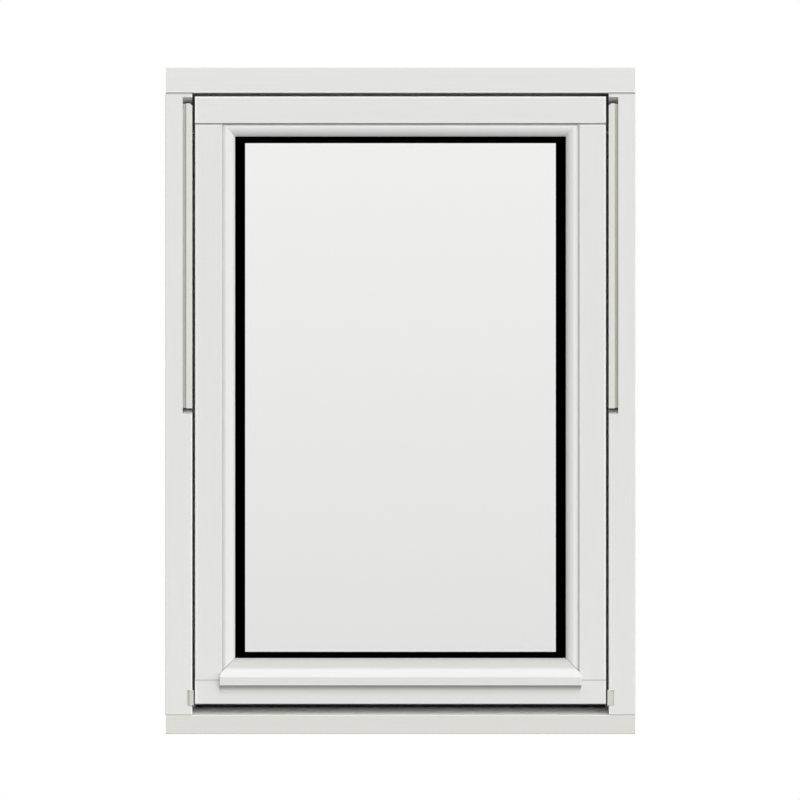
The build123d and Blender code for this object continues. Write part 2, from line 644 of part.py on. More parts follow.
# A moulded guide at the foot of each jamb centres the sash as it closes.
with BuildPart() as guide:
    with BuildSketch(FRONT.offset(GUIDE_PROUD)):
        with Locations((GUIDE_OUTER, GUIDE_BOTTOM)):
            Rectangle(GUIDE_WIDTH, GUIDE_HEIGHT, align=Align.MIN)
    extrude(amount=-GUIDE_PROUD - GUIDE_DEPTH)
    with BuildSketch(FRONT.offset(GUIDE_PROUD)):
        with Locations((GUIDE_OUTER, GUIDE_BOTTOM)):
            Rectangle(GUIDE_STEP_WIDTH, GUIDE_HEIGHT, align=Align.MIN)
    extrude(amount=-GUIDE_STEP_DEPTH, mode=Mode.SUBTRACT)
    fillet(guide.faces().sort_by(Axis.Y)[0].edges(), GUIDE_ARRIS)
write_pair(guide, "guide_block")

# The handle sits on the room side of the bottom rail and lies along it when the window is shut.
HANDLE_LEVEL = (SILL_STOP + SIGHT_BOTTOM - LIP_CHAMFER) / 2
ROSE_BACK = SASH_BACK + ROSE_DEPTH
with BuildPart() as handle_rose:
    with BuildSketch(FRONT.offset(-SASH_BACK)):
        with Locations((0, HANDLE_LEVEL)):
            SlotOverall(ROSE_LENGTH, ROSE_HEIGHT)
    extrude(amount=-ROSE_DEPTH)
    chamfer(handle_rose.faces().sort_by(Axis.Y)[-1].edges(), ROSE_EDGE)
write(handle_rose, "handle_rose")

GRIP_DEPTH = ROSE_BACK + GRIP_REACH
LEVER_PLANE = PLAN.offset(HANDLE_LEVEL)
with BuildPart() as handle_lever:
    with BuildLine(LEVER_PLANE) as lever_path:
        FilletPolyline(
            (0, ROSE_BACK), (0, GRIP_DEPTH), (GRIP_LENGTH, GRIP_DEPTH), radius=GRIP_BEND
        )
    with BuildSketch(FRONT.offset(-ROSE_BACK)):
        with Locations((0, HANDLE_LEVEL)):
            grip = Rectangle(GRIP_THICKNESS, GRIP_HEIGHT)
        chamfer(grip.vertices(), GRIP_EDGE)
    sweep(path=lever_path.wires()[0])
    chamfer(handle_lever.faces().sort_by(Axis.X)[-1].edges(), GRIP_TIP)
    with BuildSketch(FRONT.offset(-ROSE_BACK)):
        with Locations((0, HANDLE_LEVEL)):
            Circle(HUB_RADIUS)
    extrude(amount=-HUB_DEPTH)
write(handle_lever, "handle_lever")
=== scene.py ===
"""Top swing window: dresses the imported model, adds its small fittings and sets up the studio."""
import json
import logging
import math
from dataclasses import dataclass
from enum import Enum
from typing import Callable

import bpy
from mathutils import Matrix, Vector

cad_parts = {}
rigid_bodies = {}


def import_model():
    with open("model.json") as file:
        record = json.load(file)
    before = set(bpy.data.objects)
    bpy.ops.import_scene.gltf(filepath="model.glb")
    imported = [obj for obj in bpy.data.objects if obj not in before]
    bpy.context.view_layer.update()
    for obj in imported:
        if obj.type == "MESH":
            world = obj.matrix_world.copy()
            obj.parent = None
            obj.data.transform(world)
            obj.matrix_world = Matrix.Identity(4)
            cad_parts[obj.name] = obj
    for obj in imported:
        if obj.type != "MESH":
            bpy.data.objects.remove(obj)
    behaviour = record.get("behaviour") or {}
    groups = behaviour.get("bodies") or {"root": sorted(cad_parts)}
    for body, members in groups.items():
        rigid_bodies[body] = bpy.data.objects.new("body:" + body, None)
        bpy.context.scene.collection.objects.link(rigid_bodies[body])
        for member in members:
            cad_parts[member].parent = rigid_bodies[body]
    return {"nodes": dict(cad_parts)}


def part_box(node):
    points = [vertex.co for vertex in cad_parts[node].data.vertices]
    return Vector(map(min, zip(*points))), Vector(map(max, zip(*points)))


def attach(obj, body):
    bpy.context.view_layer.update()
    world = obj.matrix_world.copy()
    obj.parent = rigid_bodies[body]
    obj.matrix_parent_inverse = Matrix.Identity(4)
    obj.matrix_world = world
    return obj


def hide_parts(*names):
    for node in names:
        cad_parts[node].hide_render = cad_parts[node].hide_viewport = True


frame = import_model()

LOG = logging.getLogger("window")

Colour = tuple[float, float, float, float]
Triple = tuple[float, float, float]
Span = tuple[float, float]
Socket = bpy.types.NodeSocket
Material = bpy.types.Material
Thing = bpy.types.Object

ONE_BODY = "root"
WHITE: Colour = (1.0, 1.0, 1.0, 1.0)

# The range that most values of a noise texture lie in
NOISE_MIDDLE: Span = (0.3, 0.7)

# The shares of a paint line's width where it starts to fade and is gone
LINE_EDGE: Span = (0.8, 1.0)

# The least part of a normal along an axis for a face that looks that way, roughly and squarely
FACING = 0.9
SQUARE_ON = 0.99


def tone(red: int, green: int, blue: int) -> Colour:
    """Turn a display colour into the linear colour that shaders take.

    Args:
        red: Red from 0 to 255.
        green: Green from 0 to 255.
        blue: Blue from 0 to 255.

    Returns:
        The linear colour with full alpha.
    """
    channels = []
    for value in (red, green, blue):
        part = value / 255.0
        if part <= 0.04045:
            channels.append(part / 12.92)
        else:
            channels.append(((part + 0.055) / 1.055) ** 2.4)
    return (channels[0], channels[1], channels[2], 1.0)


def scaled(colour: Colour, factor: float) -> Colour:
    """Make a colour lighter or darker by a factor."""
    return (colour[0] * factor, colour[1] * factor, colour[2] * factor, 1.0)


class Run(Enum):
    """Which way a piece's grain or brushing runs, as the scale of its pattern on each axis."""

    UPRIGHT = (1.0, 1.0, 0.04)
    LEVEL = (0.04, 1.0, 1.0)
    EVEN = (1.0, 1.0, 1.0)


class Graph:
    """Adds nodes to one node tree and joins them."""

    def __init__(self, tree: bpy.types.NodeTree) -> None:
        """Keep the tree that the nodes go into."""
        self.tree = tree

    def node(self, kind: str, **settings: object) -> bpy.types.Node:
        """Add a node.

        Args:
            kind: Blender's name of the node type.
            **settings: Properties to set on the node.

        Returns:
            The new node.
        """
        made = self.tree.nodes.new(kind)
        for key, value in settings.items():
            setattr(made, key, value)
        return made

    def join(self, source: Socket, target: Socket) -> None:
        """Link an output to an input."""
        self.tree.links.new(source, target)

    def noise(self, vector: Socket, scale: float, detail: float, roughness: float) -> Socket:
        """Add a noise texture.

        Args:
            vector: Where the noise is read.
            scale: Waves per metre.
            detail: How many finer octaves are added.
            roughness: How strong the finer octaves are.

        Returns:
            The noise value from 0 to 1.
        """
        made = self.node("ShaderNodeTexNoise")
        made.inputs["Scale"].default_value = scale
        made.inputs["Detail"].default_value = detail
        made.inputs["Roughness"].default_value = roughness
        self.join(vector, made.inputs["Vector"])
        return made.outputs[0]

    def remap(self, value: Socket, start: Span, end: Span) -> Socket:
        """Map a value from one range to another.

        Args:
            value: The value to map.
            start: Lowest and highest input.
            end: The outputs for those two.

        Returns:
            The mapped value, held inside the output range.
        """
        made = self.node("ShaderNodeMapRange")
        made.inputs["From Min"].default_value = start[0]
        made.inputs["From Max"].default_value = start[1]
        made.inputs["To Min"].default_value = end[0]
        made.inputs["To Max"].default_value = end[1]
        self.join(value, made.inputs["Value"])
        return made.outputs[0]

    def sums(self, operation: str, first: Socket, second: Socket | float) -> Socket:
        """Do a sum with two values.

        Args:
            operation: Blender's name of the sum.
            first: The first value.
            second: The second value, a socket or a number.

        Returns:
            The result.
        """
        made = self.node("ShaderNodeMath", operation=operation)
        self.join(first, made.inputs[0])
        if isinstance(second, float):
            made.inputs[1].default_value = second
        else:
            self.join(second, made.inputs[1])
        return made.outputs[0]

    def blend(self, factor: Socket, first: Colour | Socket, second: Colour | Socket) -> Socket:
        """Blend two colours by a factor.

        Args:
            factor: 0 gives the first colour and 1 the second.
            first: The first colour, written or from a socket.
            second: The second colour, written or from a socket.

        Returns:
            The blended colour.
        """
        made = self.node("ShaderNodeMix", data_type="RGBA")
        self.join(factor, made.inputs[0])
        for index, colour in ((6, first), (7, second)):
            if isinstance(colour, tuple):
                made.inputs[index].default_value = colour
            else:
                self.join(colour, made.inputs[index])
        return made.outputs[2]

    def placed(self, run: Run) -> Socket:
        """Give Object coordinates, drawn out along a run.

        Args:
            run: Which way the pattern runs.

        Returns:
            The coordinates to read a texture at.
        """
        place = self.node("ShaderNodeTexCoord")
        drawn = self.node("ShaderNodeMapping")
        drawn.inputs["Scale"].default_value = run.value
        self.join(place.outputs["Object"], drawn.inputs["Vector"])
        return drawn.outputs["Vector"]

    def effect(self, group: bpy.types.NodeTree, vector: Socket) -> bpy.types.Node:
        """Place a shared effect.

        Args:
            group: The effect's node group.
            vector: Where its pattern is read.

        Returns:
            The group node with the effect's outputs.
        """
        made = self.node("ShaderNodeGroup", node_tree=group)
        self.join(vector, made.inputs["Vector"])
        return made

    def bump(self, height: Socket, distance: float, strength: float) -> Socket:
        """Turn a height into a normal.

        Args:
            height: The height from 0 to 1.
            distance: Metres from the lowest to the highest point.
            strength: Share of the effect.

        Returns:
            The bumped normal.
        """
        made = self.node("ShaderNodeBump")
        made.inputs["Strength"].default_value = strength
        made.inputs["Distance"].default_value = distance
        self.join(height, made.inputs["Height"])
        return made.outputs["Normal"]


class Effects:
    """The shader node groups that several finishes share."""

    def __init__(self) -> None:
        """Build each group once."""
        self.timber = self.timber_grain()
        self.speckle = self.fine_speckle()
        self.brushed = self.brushed_lines()
        self.dust = self.settled_dust()
        self.line = self.plane_line()

    @staticmethod
    def start(name: str, outputs: tuple[str, ...]) -> tuple[Graph, Socket, bpy.types.Node]:
        """Start a group that takes a Vector and gives values.

        Args:
            name: Name of the group.
            outputs: Names of the values that it gives.

        Returns:
            The group's graph, its incoming vector and its output node.
        """
        tree = bpy.data.node_groups.new(name, "ShaderNodeTree")
        tree.interface.new_socket("Vector", in_out="INPUT", socket_type="NodeSocketVector")
        for output in outputs:
            tree.interface.new_socket(output, in_out="OUTPUT", socket_type="NodeSocketFloat")
        graph = Graph(tree)
        entry = graph.node("NodeGroupInput")
        leave = graph.node("NodeGroupOutput")
        return graph, entry.outputs["Vector"], leave

    def timber_grain(self) -> bpy.types.NodeTree:
        """Make grain that shows faintly through paint, with brush marks along it.

        Returns:
            The group, with Tone, Gloss and Height.
        """
        graph, vector, leave = self.start("timber_grain", ("Tone", "Gloss", "Height"))
        marks = graph.noise(vector, 340.0, 3.0, 0.55)
        pores = graph.noise(vector, 1500.0, 2.0, 0.6)
        cloud = graph.noise(vector, 11.0, 2.0, 0.5)
        fine = graph.sums("MULTIPLY", marks, 0.55)
        wide = graph.sums("MULTIPLY", cloud, 0.45)
        graph.join(graph.sums("ADD", fine, wide), leave.inputs["Tone"])
        graph.join(graph.noise(vector, 70.0, 2.0, 0.5), leave.inputs["Gloss"])
        low = graph.sums("MULTIPLY", marks, 0.7)
        high = graph.sums("MULTIPLY", pores, 0.3)
        graph.join(graph.sums("ADD", low, high), leave.inputs["Height"])
        return graph.tree

    def fine_speckle(self) -> bpy.types.NodeTree:
        """Make the close grain of moulded plastic, rubber and powder coat.

        Returns:
            The group, with Tone, Gloss and Height.
        """
        graph, vector, leave = self.start("fine_speckle", ("Tone", "Gloss", "Height"))
        grain = graph.noise(vector, 2600.0, 2.0, 0.5)
        cloud = graph.noise(vector, 45.0, 2.0, 0.5)
        fine = graph.sums("MULTIPLY", grain, 0.5)
        wide = graph.sums("MULTIPLY", cloud, 0.5)
        graph.join(graph.sums("ADD", fine, wide), leave.inputs["Tone"])
        graph.join(cloud, leave.inputs["Gloss"])
        graph.join(grain, leave.inputs["Height"])
        return graph.tree

    def brushed_lines(self) -> bpy.types.NodeTree:
        """Make the fine lines of drawn or brushed metal.

        Returns:
            The group, with Tone, Gloss and Height.
        """
        graph, vector, leave = self.start("brushed_lines", ("Tone", "Gloss", "Height"))
        lines = graph.noise(vector, 2200.0, 3.0, 0.7)
        cloud = graph.noise(vector, 60.0, 2.0, 0.5)
        graph.join(graph.sums("MULTIPLY", lines, cloud), leave.inputs["Tone"])
        graph.join(cloud, leave.inputs["Gloss"])
        graph.join(lines, leave.inputs["Height"])
        return graph.tree

    def settled_dust(self) -> bpy.types.NodeTree:
        """Make a mask of dust that lies on what faces up.

        Returns:
            The group, with Mask.
        """
        graph, vector, leave = self.start("settled_dust", ("Mask",))
        facing = graph.node("ShaderNodeNewGeometry")
        parts = graph.node("ShaderNodeSeparateXYZ")
        graph.join(facing.outputs["Normal"], parts.inputs["Vector"])
        lying = (0.25, 1.0)
        patches = (0.35, 0.75)
        upward = graph.remap(parts.outputs["Z"], lying, (0.0, 1.0))
        patchy = graph.remap(graph.noise(vector, 90.0, 4.0, 0.6), patches, (0.0, 1.0))
        graph.join(graph.sums("MULTIPLY", upward, patchy), leave.inputs["Mask"])
        return graph.tree

    def plane_line(self) -> bpy.types.NodeTree:
        """Make a mask of the thin line where a plane cuts the surface, alike on both hands.

        Returns:
            The group, with Mask. Facing and Level give the plane, Width the line's reach either way,
            Depth how far in from the outside it is drawn, and Start and Stop how far out from the
            middle it runs.
        """
        graph, vector, leave = self.start("plane_line", ("Mask",))
        graph.tree.interface.new_socket("Facing", in_out="INPUT", socket_type="NodeSocketVector")
        for name in ("Level", "Width", "Depth", "Start", "Stop"):
            graph.tree.interface.new_socket(name, in_out="INPUT", socket_type="NodeSocketFloat")
        entry = vector.node
        parts = graph.node("ShaderNodeSeparateXYZ")
        graph.join(vector, parts.inputs["Vector"])
        across = graph.sums("ABSOLUTE", parts.outputs["X"], 0.0)
        folded = graph.node("ShaderNodeCombineXYZ")
        graph.join(across, folded.inputs["X"])
        graph.join(parts.outputs["Y"], folded.inputs["Y"])
        graph.join(parts.outputs["Z"], folded.inputs["Z"])
        reach = graph.node("ShaderNodeVectorMath", operation="DOT_PRODUCT")
        graph.join(folded.outputs["Vector"], reach.inputs[0])
        graph.join(entry.outputs["Facing"], reach.inputs[1])
        away = graph.sums("SUBTRACT", reach.outputs["Value"], entry.outputs["Level"])
        share = graph.sums("DIVIDE", graph.sums("ABSOLUTE", away, 0.0), entry.outputs["Width"])
        outside = graph.sums("LESS_THAN", parts.outputs["Y"], entry.outputs["Depth"])
        begun = graph.sums("GREATER_THAN", across, entry.outputs["Start"])
        drawn = graph.remap(share, LINE_EDGE, (1.0, 0.0))
        going = graph.sums("LESS_THAN", across, entry.outputs["Stop"])
        within = graph.sums("MULTIPLY", outside, graph.sums("MULTIPLY", begun, going))
        graph.join(graph.sums("MULTIPLY", drawn, within), leave.inputs["Mask"])
        return graph.tree


class Cut(Enum):
    """The planes that joints and arrises lie in, by the way that they face."""

    LEVEL = (0.0, 0.0, 1.0)
    SIDE = (1.0, 0.0, 0.0)
    FOOT_MITRE = (math.sqrt(0.5), 0.0, math.sqrt(0.5))


@dataclass(frozen=True)
class PaintLine:
    """A thin line in the paint: dirt with painted shade in a joint or quirk, or a painted highlight along
    an arris.
    """

    cut: Cut
    level: float
    width: float
    colour: Colour
    depth: float = -0.045
    start: float = 0.0
    stop: float = 1.0

    def draw(self, graph: Graph, effects: Effects, under: Socket) -> Socket:
        """Draw the line over a colour.

        Args:
            graph: The material's graph.
            effects: The shared node groups.
            under: The colour so far.

        Returns:
            The colour with the line in it.
        """
        made = graph.effect(effects.line, graph.placed(Run.EVEN))
        made.inputs["Facing"].default_value = self.cut.value
        made.inputs["Level"].default_value = self.level
        made.inputs["Width"].default_value = self.width
        made.inputs["Depth"].default_value = self.depth
        made.inputs["Start"].default_value = self.start
        made.inputs["Stop"].default_value = self.stop
        return graph.blend(made.outputs["Mask"], under, self.colour)


@dataclass(frozen=True)
class Finish:
    """A finish that a material is made from."""

    name: str
    colour: Colour
    roughness: Span

    def start(self) -> tuple[Material, Graph, bpy.types.Node]:
        """Start the material with its Principled shader.

        Returns:
            The material, its graph and its shader.
        """
        material = bpy.data.materials.new(self.name)
        material.use_nodes = True
        graph = Graph(material.node_tree)
        shader = graph.tree.nodes["Principled BSDF"]
        material.diffuse_color = self.colour
        return material, graph, shader

    def vary(self, graph: Graph, shader: bpy.types.Node, made: bpy.types.Node, amount: float) -> Socket:
        """Vary colour and gloss over the surface by an effect.

        Args:
            graph: The material's graph.
            shader: Its Principled shader.
            made: The placed effect.
            amount: Share of the colour that the effect moves either way.

        Returns:
            The varied colour.
        """
        dark = scaled(self.colour, 1.0 - amount)
        light = scaled(self.colour, 1.0 + amount)
        varied = graph.blend(graph.remap(made.outputs["Tone"], NOISE_MIDDLE, (0.0, 1.0)), dark, light)
        gloss = graph.remap(made.outputs["Gloss"], NOISE_MIDDLE, self.roughness)
        graph.join(gloss, shader.inputs["Roughness"])
        graph.join(varied, shader.inputs["Base Color"])
        return varied


@dataclass(frozen=True)
class PaintFinish(Finish):
    """Opaque satin paint on timber, with the grain just showing through."""

    run: Run
    variation: float = 0.016
    grain_depth: float = 0.00024
    bump_share: float = 0.35
    dust_colour: Colour = (0.58, 0.55, 0.49, 1.0)
    dust_share: float = 0.05
    lines: tuple[PaintLine, ...] = ()

    def material(self, effects: Effects) -> Material:
        """Make the paint's material.

        Args:
            effects: The shared node groups.

        Returns:
            The finished material.
        """
        material, graph, shader = self.start()
        vector = graph.placed(self.run)
        grain = graph.effect(effects.timber, vector)
        varied = self.vary(graph, shader, grain, self.variation)
        dust = graph.effect(effects.dust, graph.placed(Run.EVEN))
        share = graph.sums("MULTIPLY", dust.outputs["Mask"], self.dust_share)
        coloured = self.lay_painted_shade(graph, graph.blend(share, varied, self.dust_colour))
        for line in self.lines:
            coloured = line.draw(graph, effects, coloured)
        graph.join(coloured, shader.inputs["Base Color"])
        normal = graph.bump(grain.outputs["Height"], self.grain_depth, self.bump_share)
        graph.join(normal, shader.inputs["Normal"])
        return material

    def lay_painted_shade(self, graph: Graph, under: Socket) -> Socket:
        """Give the colour back as it is, for paint with no painted shade."""
        return under


@dataclass(frozen=True)
class DripPaintFinish(PaintFinish):
    """The drip bead's paint, with painted shade up against the glass and a painted shadow under the nose.
    """

    # Colours and heights of the painted shade against the glass and the painted shadow under the nose
    glass_shade: Colour = (0.51, 0.505, 0.463, 1.0)
    glass_levels: Span = (0.094, 0.112)
    nose_shadow: Colour = (0.34, 0.335, 0.305, 1.0)
    nose_levels: Span = (0.0635, 0.0712)
    nose_lip: float = 0.0719

    def lay_painted_shade(self, graph: Graph, under: Socket) -> Socket:
        """Lay the two bands of painted shade over the paint: against the glass and under the nose.

        Args:
            graph: The material's graph.
            under: The paint's colour.

        Returns:
            The colour with the painted shade.
        """
        parts = graph.node("ShaderNodeSeparateXYZ")
        graph.join(graph.placed(Run.EVEN), parts.inputs["Vector"])
        height = parts.outputs["Z"]
        upper = graph.remap(height, self.glass_levels, (0.0, 1.0))
        rising = graph.remap(height, self.nose_levels, (0.0, 1.0))
        lower = graph.sums("MULTIPLY", rising, graph.sums("LESS_THAN", height, self.nose_lip))
        return graph.blend(lower, graph.blend(upper, under, self.glass_shade), self.nose_shadow)


@dataclass
class PaintShop:
    """The window's paints, each with the joints and arrises of the pieces that it goes on, drawn as dirt
    with painted shade in the joints and painted highlights along the arrises.

    A line's size is its reach either way from its middle.
    """

    effects: Effects
    white: Colour = tone(226, 226, 224)
    # The sill's white is darker and warmer than the rest as painted shade
    sill_shaded_white: Colour = tone(221, 220, 215)
    # Painted light on the sill's slope, which lies in shade under the sash
    slope_painted_light: Colour = tone(246, 246, 243)
    # Painted highlight along the arrises and the bead crests
    painted_highlight: Colour = tone(237, 237, 235)
    # Joint and quirk lines, darkened with dirt and painted shade
    frame_seam_dirt_and_shade: Colour = tone(198, 198, 190)
    rail_seam_dirt_and_shade: Colour = tone(183, 183, 174)
    quirk_dirt_and_shade: Colour = tone(178, 178, 169)
    foot_seam_dirt_and_shade: Colour = tone(207, 207, 200)
    mitre_seam_dirt_and_shade: Colour = tone(188, 188, 180)
    gloss: Span = (0.36, 0.46)
    side_gap: float = 0.004
    face_only: float = -0.054
    rebate: float = 0.0065
    slope: Span = (0.0285, 0.0405)
    hairline: float = 0.0006
    thin: float = 0.0009
    seam: float = 0.0018
    quirk: float = 0.0016
    quirk_drop: float = 0.0015
    head_arris_rise: float = 0.0026
    jamb_arris: float = 0.0027
    jamb_foot: float = 0.0008
    jamb_foot_rise: float = 0.0007
    sash_arris: float = 0.0034
    rail_arris: float = 0.0011
    rail_foot_drop: float = 0.0008
    stile_arris_drop: float = 0.004
    crest: float = 0.001
    crest_inset: float = 0.0077

    def mix(self, name: str, run: Run, lines: tuple[PaintLine, ...]) -> Material:
        """Make a white paint.

        Args:
            name: Name of the material.
            run: Which way its pieces' grain runs.
            lines: The lines in it.

        Returns:
            The finished material.
        """
        return PaintFinish(name, self.white, self.gloss, run, lines=lines).material(self.effects)

    def head(self) -> Material:
        """Make the head's paint, with dirt and painted shade in the seams on the jambs and a painted
        highlight along the arris over them.

        Returns:
            The finished material.
        """
        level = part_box("left_jamb")[1].z
        seam = PaintLine(Cut.LEVEL, level, self.seam, self.frame_seam_dirt_and_shade, self.face_only, self.opening())
        arris = PaintLine(Cut.LEVEL, level + self.head_arris_rise, self.thin, self.painted_highlight, self.face_only)
        return self.mix("paint_head", Run.LEVEL, (self.side_joint(level), seam, arris))

    def sill(self) -> Material:
        """Make the sill's paint, darker and warmer than the rest as painted shade, with painted light on
        the slope under the sash.

        Returns:
            The finished material.
        """
        middle = (self.slope[0] + self.slope[1]) / 2
        half = (self.slope[1] - self.slope[0]) / 2
        slope_light = PaintLine(Cut.LEVEL, middle, half, self.slope_painted_light, self.rebate, stop=self.opening())
        paint = PaintFinish("paint_sill", self.sill_shaded_white, self.gloss, Run.LEVEL, lines=(slope_light,))
        return paint.material(self.effects)

    def jambs(self) -> Material:
        """Make the jambs' paint, with dirt and painted shade in the seams at both ends and a painted
        highlight along the arris by the gap.

        Returns:
            The finished material.
        """
        low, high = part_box("left_jamb")
        upper = PaintLine(Cut.LEVEL, high.z, self.seam, self.frame_seam_dirt_and_shade)
        lower = PaintLine(Cut.LEVEL, low.z + self.jamb_foot_rise, self.jamb_foot, self.foot_seam_dirt_and_shade)
        arris = PaintLine(Cut.SIDE, self.opening(), self.jamb_arris, self.painted_highlight, self.face_only)
        return self.mix("paint_jambs", Run.UPRIGHT, (arris, self.side_joint(high.z), upper, lower))

    def opening(self) -> float:
        """Give half the width of the frame's opening."""
        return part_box("sash_top_rail")[1].x + self.side_gap

    def side_joint(self, level: float) -> PaintLine:
        """Give the hairline of a joint that runs back to the rebate, at a level."""
        return PaintLine(Cut.LEVEL, level, self.hairline, self.frame_seam_dirt_and_shade, self.rebate)

    def sash_arrises(self) -> tuple[PaintLine, ...]:
        """Give the painted highlights along the arrises round the sash, which the rails and stiles share.

        Returns:
            The side arris, on both hands, and the top one.
        """
        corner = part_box("sash_top_rail")[1]
        side = PaintLine(Cut.SIDE, corner.x, self.sash_arris, self.painted_highlight, self.face_only)
        top = PaintLine(Cut.LEVEL, corner.z, self.sash_arris, self.painted_highlight, self.face_only)
        return (side, top)

    def rails(self) -> Material:
        """Make the rails' paint, with painted highlights along their arrises and dirt and painted shade in
        the seams against the stiles' ends.

        Returns:
            The finished material.
        """
        low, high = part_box("left_stile")
        arris = PaintLine(Cut.LEVEL, high.z + self.rail_arris, self.rail_arris, self.painted_highlight, self.face_only)
        seam = PaintLine(Cut.LEVEL, low.z - self.rail_foot_drop, self.thin, self.foot_seam_dirt_and_shade)
        return self.mix("paint_rails", Run.LEVEL, self.sash_arrises() + (arris, seam))

    def stiles(self) -> Material:
        """Make the stiles' paint, with painted highlights along their arrises and dirt and painted shade in
        the seams at both ends.

        Returns:
            The finished material.
        """
        low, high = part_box("left_stile")
        seam = PaintLine(Cut.LEVEL, high.z - self.quirk_drop, self.quirk, self.rail_seam_dirt_and_shade)
        arris = PaintLine(Cut.LEVEL, high.z - self.stile_arris_drop, self.thin, self.painted_highlight, self.face_only)
        joints = (self.side_joint(low.z), self.side_joint(high.z))
        return self.mix("paint_stiles", Run.UPRIGHT, self.sash_arrises() + joints + (arris, seam))

    def top_bead(self) -> Material:
        """Make the top bead's paint, with dirt and painted shade in its quirk.

        Returns:
            The finished material.
        """
        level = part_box("top_glazing_bead")[1].z
        quirk = PaintLine(Cut.LEVEL, level - self.quirk_drop, self.quirk, self.quirk_dirt_and_shade)
        return self.mix("paint_top_bead", Run.LEVEL, (quirk,))

    def foot_mitre(self) -> PaintLine:
        """Give the seam of the mitres between the side beads and the drip bead.

        Returns:
            The seam, on both hands.
        """
        low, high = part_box("right_glazing_bead")
        level = (high.x + low.z) * math.sqrt(0.5)
        return PaintLine(Cut.FOOT_MITRE, level, self.thin, self.mitre_seam_dirt_and_shade)

    def side_beads(self) -> Material:
        """Make the side beads' paint, with a painted highlight along the crest, and their foot mitres.

        Returns:
            The finished material.
        """
        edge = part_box("right_glazing_bead")[1].x
        crest = PaintLine(Cut.SIDE, edge - self.crest_inset, self.crest, self.painted_highlight)
        return self.mix("paint_side_beads", Run.UPRIGHT, (crest, self.foot_mitre()))

    def drip(self) -> Material:
        """Make the drip bead's paint, with painted shade against the glass and a painted shadow under the
        nose, and its mitres.

        Returns:
            The finished material.
        """
        lines = (self.foot_mitre(),)
        paint = DripPaintFinish("paint_drip_bead", self.white, self.gloss, Run.LEVEL, lines=lines)
        return paint.material(self.effects)


@dataclass(frozen=True)
class MouldedFinish(Finish):
    """Plastic, rubber or powder coat with a close moulded grain."""

    variation: float = 0.04
    grain_depth: float = 0.00004
    specular: float = 0.5
    bump_share: float = 0.4

    def material(self, effects: Effects) -> Material:
        """Make the moulded material.

        Args:
            effects: The shared node groups.

        Returns:
            The finished material.
        """
        material, graph, shader = self.start()
        grain = graph.effect(effects.speckle, graph.placed(Run.EVEN))
        self.vary(graph, shader, grain, self.variation)
        normal = graph.bump(grain.outputs["Height"], self.grain_depth, self.bump_share)
        graph.join(normal, shader.inputs["Normal"])
        shader.inputs["Specular IOR Level"].default_value = self.specular
        return material


@dataclass(frozen=True)
class MetalFinish(Finish):
    """Bare metal with fine lines along its length."""

    run: Run
    metallic: float = 1.0
    variation: float = 0.08
    line_depth: float = 0.00002
    bump_share: float = 0.4

    def material(self, effects: Effects) -> Material:
        """Make the metal's material.

        Args:
            effects: The shared node groups.

        Returns:
            The finished material.
        """
        material, graph, shader = self.start()
        lines = graph.effect(effects.brushed, graph.placed(self.run))
        self.vary(graph, shader, lines, self.variation)
        normal = graph.bump(lines.outputs["Height"], self.line_depth, self.bump_share)
        graph.join(normal, shader.inputs["Normal"])
        shader.inputs["Metallic"].default_value = self.metallic
        return material


@dataclass(frozen=True)
class GlassFinish(Finish):
    """Clear float glass with faint wiping marks."""

    index: float = 1.5
    wiped: Span = (0.4, 0.7)

    def material(self, effects: Effects) -> Material:
        """Make the glass's material.

        Args:
            effects: The shared node groups.

        Returns:
            The finished material.
        """
        material, graph, shader = self.start()
        marks = graph.effect(effects.speckle, graph.placed(Run.LEVEL))
        gloss = graph.remap(marks.outputs["Gloss"], self.wiped, self.roughness)
        graph.join(gloss, shader.inputs["Roughness"])
        shader.inputs["Base Color"].default_value = self.colour
        shader.inputs["IOR"].default_value = self.index
        shader.inputs["Transmission Weight"].default_value = 1.0
        return material


